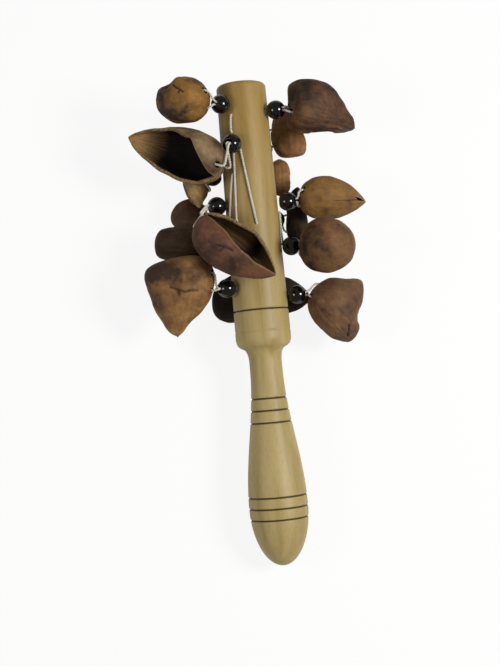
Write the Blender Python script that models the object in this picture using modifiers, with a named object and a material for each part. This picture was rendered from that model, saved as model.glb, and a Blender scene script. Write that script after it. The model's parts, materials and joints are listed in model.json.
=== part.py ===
"""Seed rattle: a turned wooden stick hung with dried seed pods on beaded cords.

The stick lies on a table, head end raised by the pods under it. Every piece is placed in the
stick's own frame: x to the right, y along the stick from butt to head, z away from the table.
An angle round the stick is 0 at the top (+z) and 90 on the right (+x).
"""
from math import atan2, cos, exp, pi, radians, sin, sqrt

import bmesh
import bpy
from mathutils import Matrix, Vector

MM = 0.001

# Stick: one piece of turned wood, sizes from the butt end
STICK_LENGTH = 228 * MM
HEAD_TOP_RADIUS = 11.7 * MM
HEAD_FOOT_RADIUS = 13.1 * MM
HEAD_EDGE_ROUND = 2.2 * MM
SHOULDER_AT = 107.5 * MM
SHOULDER_ROUND = 4.5 * MM
NECK_FILLET = 6.5 * MM
NECK_FILLET_RISE = 3.2 * MM
NECK_AT = 93 * MM
NECK_RADIUS = 7.7 * MM
GRIP_AT = 27.5 * MM
GRIP_RADIUS = 13.9 * MM
STICK_SIDES = 20

# Burnt grooves turned into the stick, by their distance from the butt end
GROOVE_WIDTH = 1.0 * MM
GROOVE_DEPTH = 0.5 * MM
GROOVE_PITCH_LOW = 5.2 * MM
GROOVE_PITCH_HIGH = 5.7 * MM
GROOVES_LOW_AT = 27.5 * MM
GROOVES_HIGH_AT = 73 * MM
GROOVE_HEAD_AT = 120.4 * MM

# How the rattle lies: head raised, and moved so that the origin is under the middle of it
LIE_TILT = radians(6)
LIE_SHIFT_RIGHT = 0.1 * MM

# Beads and cords
BEAD_RADIUS = 4.45 * MM
BEAD_BORE_RADIUS = 1.75 * MM
BEAD_GAP = 0.5 * MM
BEAD_SIDES = 10
BEAD_ROWS = 6
CORD_RADIUS = 0.6 * MM
CORD_STEP = 9 * MM
STRAND_OFFSET = 0.75 * MM
STICK_HOLE_RADIUS = 1.7 * MM
STICK_HOLE_SIDES = (8, 10)
STICK_CORD_RADIUS = 1.2 * MM
CLEARANCE = 0.3 * MM

# Pods: wall, and the two cord holes in each
POD_WALL = 1.6 * MM
POD_HOLE_RADIUS = 1.6 * MM
POD_HOLE_SPREAD = 4.2 * MM
POD_LEAD = 2.0
POD_BASE_POWER = 0.45
POD_BACK_SHARE = 0.6
POD_MOUTH_POWER = 0.7
POD_WALL_AT_TIP = 0.2
POD_WALL_TAPER = 2.5
POD_ROWS = 10
POD_SIDES = 11
BACK_SEAT_AT = 0.42

# Each pod hangs at a hole in the head, "along" from the butt and "around" the stick. Its two cord
# holes lie "reach" beyond the bead, in its base or its back. "heading" is the way the pod goes from
# there, seen from above, "dip" how far it slopes down, and "roll" how far its mouth turns from up.
# size is length, width and depth in mm, gape the half angle of the mouth, split where the mouth
# starts and ends as shares of the length, and sway how far it starts to one side. base and tip tell
# how pointed the ends are, from 0 to 1, and spread how far the pair of cord holes turns round the
# seat. A lump is (share of the length, turn round the pod, height in mm, size in mm).
PODS = [
    dict(name="1_left", along=217, around=-38, reach=(-3.8, 1.8, 2.7), seat="base", heading=171,
         dip=26, roll=150, size=(26, 22, 21.5), gape=30, split=(0.2, 0.97), tip=0.5,
         lumps=[(0.75, 300, -2.8, 5)]),
    dict(name="1_right", along=213.3, around=66, reach=(3.4, -0.8, -1.6), seat="base", heading=-15,
         dip=14, roll=115, size=(32.5, 22, 25), gape=40, split=(0.15, 0.97), base=0.22, tip=0.55,
         lumps=[(0.8, 155, -1.5, 7), (0.6, 335, -1.5, 9)]),
    dict(name="2_front", along=197.7, around=-23, reach=(-4.5, -10.4, 0.5), seat="base", heading=155,
         dip=18, roll=-8, spread=90, size=(50, 25, 25), gape=78, sway=-78, split=(0.17, 0.98), tip=0.8,
         lead=4.0),
    dict(name="2_back", along=199, around=150, reach=(3.0, 6.0, -1.5), seat="back", heading=3,
         dip=0, roll=0, size=(25, 15, 19), gape=75, split=(0.02, 0.98), base=0.35, tip=0.35),
    dict(name="3_left", along=185.8, around=-95, reach=(1.0, -1.5, -12.0), seat="back", heading=180,
         dip=0, roll=26, size=(23, 12, 13), gape=30, split=(0.2, 0.97), tip=0.85),
    dict(name="3_back", along=185.8, around=165, reach=(2.6, -2.0, -2.0), seat="back", heading=0,
         dip=0, roll=0, size=(20, 13, 15), gape=40, split=(0.1, 0.97), tip=0.7),
    dict(name="4_left", along=170.5, around=-70, reach=(-4.0, -9.0, 14.5), seat="base", heading=-41,
         dip=-6, roll=-55, spread=90, size=(44, 24, 23), gape=44, split=(0.06, 0.98), tip=0.8),
    dict(name="4_right", along=170.5, around=86, reach=(3.0, 1.0, -1.0), seat="base", heading=-7,
         dip=12, roll=30, size=(32.5, 21, 19), gape=9, split=(0.35, 0.98), tip=0.8),
    dict(name="5_left", along=158, around=-105, reach=(-2.0, 12.6, -14.0), seat="base", heading=184,
         dip=12, roll=160, size=(18.5, 18, 14), gape=30, split=(0.2, 0.97), tip=0.6),
    dict(name="5_back", along=158, around=175, reach=(-5.0, -18.0, 3.0), seat="back", heading=-90,
         dip=0, roll=0, size=(48, 11, 26), gape=40, split=(0.06, 0.97), base=0.4, tip=0.6),
    dict(name="6_left", along=146, around=-95, reach=(-3.0, 7.8, -2.0), seat="base", heading=172,
         dip=12, roll=180, spread=45, size=(25, 17.5, 17), gape=30, split=(0.2, 0.97), base=0.4,
         tip=0.45),
    dict(name="6_right", along=149, around=75, reach=(1.6, -1.5, 2.6), seat="base", heading=-5,
         dip=-22, roll=170, size=(26, 25.5, 24), gape=30, split=(0.2, 0.97), tip=0.5),
    dict(name="7_left", along=131.4, around=-58, reach=(-2.2, 3.6, 1.9), seat="back", heading=188,
         dip=20, roll=0, size=(36, 22, 34), gape=30, split=(0.06, 0.97), base=0.3, tip=0.7, lead=1.8),
    dict(name="7_right", along=126.1, around=84, reach=(4.3, 0.9, -1.0), seat="base", heading=-46,
         dip=14, roll=150, size=(33, 26, 23), gape=35, split=(0.25, 0.98), tip=0.6,
         lumps=[(0.45, 120, 3.0, 7), (0.75, 120, -4.5, 5)]),
    dict(name="8_right", along=164, around=140, reach=(3.0, -2.0, 0.0), seat="back", heading=0,
         dip=0, roll=0, size=(30, 12, 12), gape=40, split=(0.1, 0.97), tip=0.6),
]

# Cord laced along the outside of the head, as (along, around) from the butt end
LACINGS = {
    "left_upper": [(212, -28), (208, -30), (204, -31)],
    "front_left": [(184.5, -37), (174, -46), (164, -54)],
    "front_middle": [(194.5, -29), (178, -32), (162, -36)],
    "front_right": [(195, -13), (178, -3), (160, 7)],
    "right": [(166, 84), (158, 78), (150.6, 84)],
}
LACING_STEPS = 3


def linear(hex_colour):
    """Turn an sRGB hex colour into a linear RGBA tuple."""
    channels = [int(hex_colour[i:i + 2], 16) / 255 for i in (1, 3, 5)]
    linear_channels = [c / 12.92 if c <= 0.04045 else ((c + 0.055) / 1.055) ** 2.4 for c in channels]
    return (*linear_channels, 1)


def material(name, hex_colour, roughness):
    """A plain Principled material."""
    made = bpy.data.materials.new(name)
    made.use_nodes = True
    shader = made.node_tree.nodes["Principled BSDF"]
    shader.inputs["Base Color"].default_value = linear(hex_colour)
    shader.inputs["Roughness"].default_value = roughness
    shader.inputs["Metallic"].default_value = 0
    return made


def empty(name, parent, matrix):
    """An empty that carries pieces, placed in its parent's frame."""
    made = bpy.data.objects.new(name, None)
    made.empty_display_size = BEAD_RADIUS
    parts.objects.link(made)
    made.parent = parent
    made.matrix_basis = matrix
    return made


def piece(name, data, parent, matrix, finish):
    """One named piece of the rattle."""
    made = bpy.data.objects.new(name, data)
    made.data.materials.append(finish)
    parts.objects.link(made)
    made.parent = parent
    made.matrix_basis = matrix
    return made


def smooth(mesh):
    """Shade a mesh smooth, with sharp edges kept."""
    mesh.shade_smooth()
    mesh.set_sharp_from_angle(angle=radians(40))


def cutter(name, cylinders, parent, matrix):
    """A hidden cutter of one or more cylinders, each (start, end, radius, sides)."""
    shape = bmesh.new()
    for start, end, radius, sides in cylinders:
        run = end - start
        turn = run.to_track_quat("Z", "Y").to_matrix().to_4x4()
        bmesh.ops.create_cone(
            shape, cap_ends=True, segments=sides, radius1=radius, radius2=radius, depth=run.length,
            matrix=Matrix.Translation((start + end) / 2) @ turn)
    mesh = bpy.data.meshes.new(name)
    shape.to_mesh(mesh)
    shape.free()
    made = bpy.data.objects.new(name, mesh)
    cutters.objects.link(made)
    made.parent = parent
    made.matrix_basis = matrix
    made.hide_render = True
    made.display_type = "WIRE"
    return made


def cut(target, tool, crossing=False):
    """Subtract a cutter from a piece; its cylinders may be crossing one another."""
    boolean = target.modifiers.new("cut", "BOOLEAN")
    boolean.operation = "DIFFERENCE"
    boolean.solver = "EXACT"
    boolean.use_self = crossing
    boolean.object = tool


def spaced(start, end, count):
    """Evenly spaced values from start to end, both included."""
    return [start + (end - start) * i / (count - 1) for i in range(count)]


def head_radius(along):
    """The head tapers evenly from its foot to its top."""
    share = (along - SHOULDER_AT) / (STICK_LENGTH - HEAD_EDGE_ROUND - SHOULDER_AT)
    return HEAD_FOOT_RADIUS + (HEAD_TOP_RADIUS - HEAD_FOOT_RADIUS) * share


def grip_radius(along):
    """The grip swells from an elliptical butt to its widest, then narrows to the neck."""
    if along <= GRIP_AT:
        return GRIP_RADIUS * sqrt(1 - ((GRIP_AT - along) / GRIP_AT) ** 2)
    share = (along - GRIP_AT) / (NECK_AT - GRIP_AT)
    return NECK_RADIUS + (GRIP_RADIUS - NECK_RADIUS) * (1 + cos(pi * share)) / 2


def stick_radius(along):
    """Radius on the grip or the head, without the grooves."""
    return grip_radius(along) if along < NECK_AT else head_radius(along)


def groove_places():
    """Distances of all the grooves from the butt end."""
    low = [GROOVES_LOW_AT + GROOVE_PITCH_LOW * i for i in (-1, 0, 1)]
    high = [GROOVES_HIGH_AT + GROOVE_PITCH_HIGH * i for i in (-1, 0, 1)]
    return low + high + [GROOVE_HEAD_AT]


def stick_outline():
    """The turned outline as (along, radius), from the butt end to the head end."""
    butt = [GRIP_AT * (1 - cos(angle)) for angle in spaced(0, pi / 2, 7)]
    grip = spaced(GRIP_AT, NECK_AT, 10)[1:]
    points = [(along, grip_radius(along)) for along in butt + grip]
    fillet_at = SHOULDER_AT - SHOULDER_ROUND - NECK_FILLET
    for angle in spaced(0, pi / 2, 4):
        points.append((fillet_at + NECK_FILLET * sin(angle),
                       NECK_RADIUS + NECK_FILLET_RISE * (1 - cos(angle))))
    shoulder_rise = HEAD_FOOT_RADIUS - NECK_RADIUS - NECK_FILLET_RISE
    for angle in spaced(0, pi / 2, 4)[1:]:
        points.append((SHOULDER_AT - SHOULDER_ROUND * cos(angle),
                       HEAD_FOOT_RADIUS - shoulder_rise * (1 - sin(angle))))
    for angle in spaced(0, pi / 2, 4):
        points.append((STICK_LENGTH - HEAD_EDGE_ROUND * (1 - sin(angle)),
                       HEAD_TOP_RADIUS - HEAD_EDGE_ROUND * (1 - cos(angle))))
    points.append((STICK_LENGTH, 0))
    for at in groove_places():
        half = GROOVE_WIDTH / 2
        points = [p for p in points if abs(p[0] - at) > GROOVE_WIDTH]
        points += [(at - half, stick_radius(at - half)), (at + half, stick_radius(at + half)),
                   (at, stick_radius(at) - GROOVE_DEPTH)]
    top = points.index((STICK_LENGTH, 0))
    end_point = points.pop(top)
    return sorted(points) + [end_point]


def on_stick(along, around, out=0.0):
    """A point on the stick's surface, or "out" beyond it, in the stick's frame."""
    radius = stick_radius(along) + out
    return Vector((radius * sin(around), along, radius * cos(around)))


def row_of(pod):
    """The row of holes that a pod belongs to."""
    return pod["name"].split("_")[0]


def row_middle(pod):
    """Where the holes of a pod's row meet in the middle of the stick."""
    places = [other["along"] for other in PODS if row_of(other) == row_of(pod)]
    return Vector((0, sum(places) / len(places) * MM, 0))


def build_stick(parent):
    """Turn the stick from its outline and drill its cord holes from both sides to the middle."""
    shape = bmesh.new()
    outline = [shape.verts.new((radius, 0, along)) for along, radius in reversed(stick_outline())]
    for upper, lower in zip(outline, outline[1:]):
        shape.edges.new((upper, lower))
    mesh = bpy.data.meshes.new("stick")
    shape.to_mesh(mesh)
    shape.free()
    stick = piece("stick", mesh, parent, Matrix.Rotation(-pi / 2, 4, "X"), wood)
    screw = stick.modifiers.new("turn", "SCREW")
    screw.steps = STICK_SIDES
    screw.render_steps = STICK_SIDES
    screw.use_merge_vertices = True
    screw.merge_threshold = 0.00001
    screw.use_smooth_shade = True
    drills = []
    for number, pod in enumerate(PODS):
        mouth = on_stick(pod["along"] * MM, radians(pod["around"]))
        middle = row_middle(pod)
        inward = (middle - mouth).normalized()
        sides = STICK_HOLE_SIDES[number % 2]
        past_middle = middle + inward * STICK_HOLE_RADIUS * sides / STICK_HOLE_SIDES[0]
        drills.append((past_middle, mouth - inward * BEAD_RADIUS, STICK_HOLE_RADIUS, sides))
    cut(stick, cutter("stick_drill", drills, parent, Matrix.Identity(4)), crossing=True)


def curve_tube(name, points, radius, parent, matrix, finish):
    """A round cord along the given points."""
    curve = bpy.data.curves.new(name, "CURVE")
    curve.dimensions = "3D"
    curve.bevel_depth = radius
    curve.bevel_resolution = 2
    curve.use_fill_caps = True
    spline = curve.splines.new("POLY")
    spline.points.add(len(points) - 1)
    for spot, point in zip(spline.points, points):
        spot.co = (*point, 1)
    spline.use_smooth = True
    return piece(name, curve, parent, matrix, finish)


def rounded(points, steps):
    """Points on a smooth curve through the given ones."""
    padded = [2 * points[0] - points[1], *points, 2 * points[-1] - points[-2]]
    run = []
    for before, start, end, after in zip(padded, padded[1:], padded[2:], padded[3:]):
        for step in range(steps):
            t = step / steps
            run.append(0.5 * (2 * start + (end - before) * t
                              + (2 * before - 5 * start + 4 * end - after) * t ** 2
                              + (3 * start - before - 3 * end + after) * t ** 3))
    return run + [points[-1]]


def stepped(points):
    """The same run of points, with more of them where two lie further apart than a cord's step."""
    run = []
    for start, end in zip(points, points[1:]):
        steps = max(1, round((end - start).length / CORD_STEP))
        run += [start.lerp(end, step / steps) for step in range(steps)]
    return run + [points[-1]]


def build_lacings(parent):
    """Cord that runs along the outside of the head from hole to hole."""
    lift = CORD_RADIUS + CLEARANCE
    for name, route in LACINGS.items():
        points = [on_stick(along * MM, radians(around), lift) for along, around in route]
        curve_tube("lacing_" + name, rounded(points, LACING_STEPS), CORD_RADIUS, parent,
                   Matrix.Identity(4), cord)


def build_stick_cords(parent):
    """The doubled cord inside the head, from one hole's mouth through the middle to the other's."""
    for row in sorted({row_of(pod) for pod in PODS}):
        pods = [pod for pod in PODS if row_of(pod) == row]
        points = [on_stick(pod["along"] * MM, radians(pod["around"]), -CLEARANCE) for pod in pods]
        points.insert(1, row_middle(pods[0]))
        curve_tube("stick_cord_" + row, points, STICK_CORD_RADIUS, parent, Matrix.Identity(4), cord)


def pod_fullness(pod, share):
    """Half width along a pod as a share of its widest: blunt at the base, pointed at the tip."""
    base = pod.get("base", POD_BASE_POWER)
    peak = base / (base + pod["tip"])
    return (share / peak) ** base * ((1 - share) / (1 - peak)) ** pod["tip"]


def plain_point(pod, share, angle):
    """A point on the plain pod, in its own axes, and the way out of the pod there."""
    length, width, depth = (value * MM for value in pod["size"])
    full = pod_fullness(pod, share)
    across = width / 2 * full * sin(angle)
    up = depth * full * (cos(angle) / 2 + 0.5 - POD_BACK_SHARE)
    outward = Vector((depth * sin(angle), 0, width * cos(angle))).normalized()
    return Vector((across, length * share, up)), outward


def pod_point(pod, share, angle):
    """A point on the pod with its lumps and dents."""
    point, outward = plain_point(pod, share, angle)
    lift = 0.0
    for along, turn, height, spread in pod.get("lumps", []):
        middle, _ = plain_point(pod, along, radians(turn))
        lift += height * MM * exp(-((point - middle).length / (spread * MM)) ** 2)
    return point + outward * lift


def pod_mouth(pod, share):
    """Half angle of the mouth at a place along the pod, nothing where it is closed, and its middle."""
    start, end = pod["split"]
    place = (share - start) / (end - start)
    opening = sin(pi * place) ** POD_MOUTH_POWER if 0 < place < 1 else 0.0
    middle = pod.get("sway", 0) * (1 - opening if place < 0.5 else 0.0)
    return radians(pod["gape"]) * opening, radians(middle)


def pod_mesh(pod, seat_point):
    """A pod's outer skin: sections round its length, open along its mouth."""
    shape = bmesh.new()
    bmesh.ops.create_grid(shape, x_segments=POD_SIDES, y_segments=POD_ROWS, size=0.5)
    wall = shape.verts.layers.deform.verify()
    for vert in shape.verts:
        share = (1 - cos(pi * (vert.co.y + 0.5))) / 2
        share = min(max(share, 0.0), 1.0)
        mouth, middle = pod_mouth(pod, share)
        angle = middle + mouth + (vert.co.x + 0.5) * 2 * (pi - mouth)
        vert[wall][0] = min(1.0, POD_WALL_AT_TIP + POD_WALL_TAPER * (1 - share))
        vert.co = pod_point(pod, share, angle) - seat_point
    bmesh.ops.remove_doubles(shape, verts=shape.verts, dist=0.00002)
    bmesh.ops.recalc_face_normals(shape, faces=shape.faces)
    mesh = bpy.data.meshes.new("pod_" + pod["name"])
    shape.to_mesh(mesh)
    shape.free()
    smooth(mesh)
    return mesh


def seat_in_pod(pod):
    """Where the middle of the wall between the two cord holes lies, in the pod's own axes."""
    length, width, depth = (value * MM for value in pod["size"])
    if pod["seat"] == "back":
        back = depth * POD_BACK_SHARE * pod_fullness(pod, BACK_SEAT_AT)
        return Vector((0, length * BACK_SEAT_AT, POD_WALL / 2 - back))
    low, high = 0.0, 0.3
    for _ in range(30):
        share = (low + high) / 2
        if width / 2 * pod_fullness(pod, share) < POD_HOLE_SPREAD:
            low = share
        else:
            high = share
    middle = depth * pod_fullness(pod, low) * (0.5 - POD_BACK_SHARE)
    return Vector((0, length * low + POD_WALL / 2, middle if pod.get("spread") else 0))


def hole_axes(pod):
    """In the pod's own axes: the way from one cord hole to the other, and the way into the pod."""
    spread = radians(pod.get("spread", 0))
    if pod["seat"] == "back":
        return Vector((0, 1, 0)), Vector((0, 0, 1))
    return Vector((cos(spread), 0, sin(spread))), Vector((0, 1, 0))


def pod_axes(pod):
    """A pod's axes in the stick's frame: x across, y to the tip, z out of the mouth."""
    turn = Matrix.Rotation(radians(pod["heading"] - 90), 3, "Z")
    tilt = Matrix.Rotation(-radians(pod["dip"]), 3, "X")
    roll = Matrix.Rotation(radians(pod["roll"]), 3, "Y")
    axes = turn @ tilt @ roll
    if pod["seat"] == "back":
        axes = axes @ Matrix(((0, -1, 0), (0, 0, 1), (-1, 0, 0)))
    return axes


def build_pod(pod, parent):
    """One hanging pod: a bead at the hole, a loop of cord through it, and the pod on the loop."""
    name = pod["name"]
    along = pod["along"] * MM
    around = radians(pod["around"])
    out = Vector((sin(around), 0, cos(around)))
    swing_axis = Vector((0, 1, 0))
    side = out.cross(swing_axis)
    pivot = on_stick(along, around)
    swing_turn = Matrix((swing_axis, side, out)).transposed()
    swing = empty("swing_" + name, parent, Matrix.Translation(pivot) @ swing_turn.to_4x4())
    to_swing = (Matrix.Translation(pivot) @ swing_turn.to_4x4()).inverted()

    bead_out = BEAD_GAP + 2 * BEAD_RADIUS
    piece("bead_" + name, bead_mesh.copy(), swing, Matrix.Translation((0, 0, BEAD_GAP + BEAD_RADIUS)),
          bead_black)

    axes = pod_axes(pod)
    spread_axis, inward_axis = hole_axes(pod)
    across = axes @ spread_axis
    inward = axes @ inward_axis
    seat = pivot + out * bead_out + Vector(pod["reach"]) * MM
    seat_point = seat_in_pod(pod)
    place = to_swing @ Matrix.Translation(seat) @ axes.to_4x4()
    shell = piece("pod_" + name, pod_mesh(pod, seat_point), swing, place, pod_brown)
    shell.vertex_groups.new(name="wall")
    solidify = shell.modifiers.new("wall", "SOLIDIFY")
    solidify.thickness = POD_WALL
    solidify.offset = -1
    solidify.vertex_group = "wall"
    holes = []
    for sign in (-1, 1):
        middle = spread_axis * POD_HOLE_SPREAD * sign
        holes.append((middle - inward_axis * 3 * POD_WALL, middle + inward_axis * 2 * POD_WALL,
                      POD_HOLE_RADIUS, 8))
    cut(shell, cutter("pod_drill_" + name, holes, swing, place))

    strand = out.cross(Vector(pod["reach"])).normalized() * STRAND_OFFSET
    if strand.dot(across) < 0:
        strand = -strand
    half = []
    for sign in (1, -1):
        hole = seat + across * POD_HOLE_SPREAD * sign
        half.append([
            pivot + out * (BEAD_GAP + CLEARANCE) + strand * sign,
            pivot + out * (bead_out + CORD_RADIUS) + strand * sign,
            hole - inward * pod.get("lead", POD_LEAD) * MM,
            hole + inward * (POD_WALL / 2 + 3 * CORD_RADIUS)])
    inside = seat + inward * (POD_WALL / 2 + 5 * CORD_RADIUS)
    free_run = half[0][1:] + [inside] + half[1][:0:-1]
    route = stepped([half[0][0], *free_run, half[1][0]])
    curve_tube("loop_" + name, [to_swing @ point for point in route], CORD_RADIUS, swing,
               Matrix.Identity(4), cord)


def make_bead_mesh():
    """A round bead with a bore, turned about its bore."""
    shape = bmesh.new()
    edge = atan2(BEAD_BORE_RADIUS, sqrt(BEAD_RADIUS ** 2 - BEAD_BORE_RADIUS ** 2))
    outline = [shape.verts.new((BEAD_RADIUS * sin(angle), 0, BEAD_RADIUS * cos(angle)))
               for angle in spaced(edge, pi - edge, BEAD_ROWS)]
    outline.append(outline[0])
    edges = [shape.edges.new(pair) for pair in zip(outline, outline[1:])]
    bmesh.ops.spin(shape, geom=outline[:-1] + edges, axis=(0, 0, 1), cent=(0, 0, 0), angle=2 * pi,
                   steps=BEAD_SIDES, use_merge=True)
    bmesh.ops.remove_doubles(shape, verts=shape.verts, dist=0.00001)
    bmesh.ops.recalc_face_normals(shape, faces=shape.faces)
    mesh = bpy.data.meshes.new("bead")
    shape.to_mesh(mesh)
    shape.free()
    smooth(mesh)
    return mesh


for old in list(bpy.data.objects):
    bpy.data.objects.remove(old, do_unlink=True)
parts = bpy.data.collections.new("seed_rattle")
cutters = bpy.data.collections.new("cutters")
bpy.context.scene.collection.children.link(parts)
bpy.context.scene.collection.children.link(cutters)

wood = material("turned_wood", "#a89258", 0.5)
bead_black = material("bead_black", "#0c0b0b", 0.15)
cord = material("cord_white", "#d8d2c4", 0.8)
pod_brown = material("pod_brown", "#6e4a2c", 0.65)
bead_mesh = make_bead_mesh()

# The stick's lowest ring touches the table, and the origin is under the middle of its length
lie_height = max(radius * cos(LIE_TILT) - along * sin(LIE_TILT) for along, radius in stick_outline())
lie = empty("rattle", None, Matrix.Translation(
    (LIE_SHIFT_RIGHT, -STICK_LENGTH / 2 * cos(LIE_TILT), lie_height)) @ Matrix.Rotation(LIE_TILT, 4, "X"))
build_stick(lie)
build_stick_cords(lie)
build_lacings(lie)
for hung in PODS:
    build_pod(hung, lie)
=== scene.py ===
"""The looks of a seed rattle: a turned wooden stick hung with dried, split seed pods on beaded cords."""

import json
from math import atan2, cos, exp, pi, radians, sin, sqrt

import bmesh
import bpy
from mathutils import Matrix, Vector, noise

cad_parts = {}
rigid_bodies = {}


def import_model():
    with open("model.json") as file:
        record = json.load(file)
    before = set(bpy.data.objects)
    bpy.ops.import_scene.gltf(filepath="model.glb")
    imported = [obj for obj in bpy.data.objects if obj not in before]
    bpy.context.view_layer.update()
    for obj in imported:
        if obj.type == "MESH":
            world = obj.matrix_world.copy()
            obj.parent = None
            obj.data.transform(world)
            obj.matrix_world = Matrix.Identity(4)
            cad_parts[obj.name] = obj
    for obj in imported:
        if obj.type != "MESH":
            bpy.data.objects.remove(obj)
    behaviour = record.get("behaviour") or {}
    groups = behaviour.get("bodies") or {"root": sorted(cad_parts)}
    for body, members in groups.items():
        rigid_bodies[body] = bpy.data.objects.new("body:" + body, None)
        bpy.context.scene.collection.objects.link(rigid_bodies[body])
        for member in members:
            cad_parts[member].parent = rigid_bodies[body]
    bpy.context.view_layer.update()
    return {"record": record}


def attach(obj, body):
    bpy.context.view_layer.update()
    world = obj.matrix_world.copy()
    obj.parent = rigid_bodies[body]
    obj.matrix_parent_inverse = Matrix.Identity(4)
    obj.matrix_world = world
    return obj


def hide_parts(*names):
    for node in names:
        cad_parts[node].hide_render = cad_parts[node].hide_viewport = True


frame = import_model()

# The view: the rattle lies on a table and is seen from straight above, its stick upright in the
# picture and leaning a little to the left. Places are given in the stick's own frame, in metres:
# x to the right, y along the stick from its butt end, z up.
MM = 0.001
STICK_LENGTH = 228 * MM
EYE = Vector((-7.9, 89.4, 626)) * MM
TARGET = Vector((-6.1, 110.1, 0)) * MM
PICTURE_TURN = radians(-5.15)
PICTURE_PIXELS_HIGH = 666
PIXEL = 0.4723 * MM
SENSOR_HEIGHT = 36
NEAREST_SEEN = 10 * MM

head_end = frame["record"]["mounts"][0]
stick_axis = Vector(head_end["axis"]).normalized()
to_right = Vector((1, 0, 0))
stick_turn = Matrix((to_right, stick_axis, to_right.cross(stick_axis))).transposed()
butt_end = Vector(head_end["pos_m"]) - stick_axis * STICK_LENGTH
stick_place = Matrix.Translation(butt_end) @ stick_turn.to_4x4()

camera = bpy.data.objects.new("camera", bpy.data.cameras.new("camera"))
bpy.context.scene.collection.objects.link(camera)
looking = (TARGET - EYE).normalized()
across_picture = Vector((cos(PICTURE_TURN), sin(PICTURE_TURN), 0))
across_picture = (across_picture - looking * across_picture.dot(looking)).normalized()
up_picture = across_picture.cross(looking)
camera_turn = Matrix((across_picture, up_picture, -looking)).transposed()
camera.matrix_world = stick_place @ Matrix.Translation(EYE) @ camera_turn.to_4x4()
camera.data.sensor_fit = "VERTICAL"
camera.data.sensor_height = SENSOR_HEIGHT
camera.data.lens = SENSOR_HEIGHT * EYE.z / (PICTURE_PIXELS_HIGH * PIXEL)
camera.data.clip_start = NEAREST_SEEN
bpy.context.scene.camera = camera
bpy.context.scene.view_settings.view_transform = "Standard"

# The table: a pale sheet under the rattle, so large that its edge never shows. It is a little
# brighter to the camera than to the rattle, and keeps a soft shadow.
FLOOR_SIZE = 40.0
FLOOR_COLOUR = "#f4f3f0"
FLOOR_GLOW = 0.88


def linear(hex_colour):
    """Turn an sRGB hex colour into a linear RGBA tuple."""
    channels = [int(hex_colour[i:i + 2], 16) / 255 for i in (1, 3, 5)]
    return (*[c / 12.92 if c <= 0.04045 else ((c + 0.055) / 1.055) ** 2.4 for c in channels], 1)


def add(tree, kind, inputs=None, **settings):
    """Add a node: settings are its properties, inputs maps its sockets to values or other sockets."""
    node = tree.nodes.new(kind)
    for name, value in settings.items():
        setattr(node, name, value)
    for socket, value in (inputs or {}).items():
        if isinstance(value, bpy.types.NodeSocket):
            tree.links.new(value, node.inputs[socket])
        else:
            node.inputs[socket].default_value = value
    return node


def new_material(name):
    """An empty node material, with its tree and its output node."""
    made = bpy.data.materials.new(name)
    made.use_nodes = True
    made.node_tree.nodes.clear()
    return made, made.node_tree, made.node_tree.nodes.new("ShaderNodeOutputMaterial")


def new_piece(name, shape, materials):
    """Turn a finished bmesh into an object with its materials."""
    mesh = bpy.data.meshes.new(name)
    shape.to_mesh(mesh)
    shape.free()
    mesh.shade_smooth()
    for finish in materials:
        mesh.materials.append(finish)
    made = bpy.data.objects.new(name, mesh)
    bpy.context.scene.collection.objects.link(made)
    return made


paper, tree, out = new_material("pale_paper")
rays = add(tree, "ShaderNodeLightPath")
seen = add(tree, "ShaderNodeMath", {0: rays.outputs["Is Camera Ray"], 1: FLOOR_GLOW}, operation="MULTIPLY")
matt = add(tree, "ShaderNodeBsdfDiffuse", {"Color": linear(FLOOR_COLOUR)})
glow = add(tree, "ShaderNodeEmission", {"Color": (1, 1, 1, 1), "Strength": 1.0})
mixed = add(tree, "ShaderNodeMixShader", {0: seen.outputs[0], 1: matt.outputs[0], 2: glow.outputs[0]})
tree.links.new(mixed.outputs[0], out.inputs["Surface"])
shape = bmesh.new()
bmesh.ops.create_grid(shape, x_segments=1, y_segments=1, size=FLOOR_SIZE / 2)
new_piece("table", shape, [paper])

# Light: two square soft boxes, right and left of the camera, the right one stronger, and an even
# pale room. They give each bead its two small highlights and shade the left of the stick. To the
# camera, the room is a white backdrop.
ROOM_COLOUR = "#ffffff"
ROOM_STRENGTH = 0.25
BACKDROP_STRENGTH = 0.9
LAMPS = {
    "lamp_right": (Vector((480, 150, 560)) * MM, 4.4),
    "lamp_left": (Vector((-500, 120, 520)) * MM, 1.1),
}
LAMP_SIZE = 220 * MM
LIT_SPOT = Vector((0, 150, 0)) * MM

room = bpy.data.worlds.new("room")
bpy.context.scene.world = room
room.use_nodes = True
tree = room.node_tree
tree.nodes.clear()
dim = add(tree, "ShaderNodeBackground", {"Color": linear(ROOM_COLOUR), "Strength": ROOM_STRENGTH})
backdrop = add(tree, "ShaderNodeBackground", {"Color": linear(ROOM_COLOUR), "Strength": BACKDROP_STRENGTH})
rays = add(tree, "ShaderNodeLightPath")
mixed = add(tree, "ShaderNodeMixShader", {
    0: rays.outputs["Is Camera Ray"], 1: dim.outputs[0], 2: backdrop.outputs[0]})
add(tree, "ShaderNodeOutputWorld", {"Surface": mixed.outputs[0]})
for name, (place, power) in LAMPS.items():
    lamp = bpy.data.objects.new(name, bpy.data.lights.new(name, "AREA"))
    bpy.context.scene.collection.objects.link(lamp)
    lamp.data.energy = power
    lamp.data.size = LAMP_SIZE
    aim = (LIT_SPOT - place).to_track_quat("-Z", "Y").to_matrix().to_4x4()
    lamp.matrix_world = stick_place @ Matrix.Translation(place) @ aim

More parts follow.
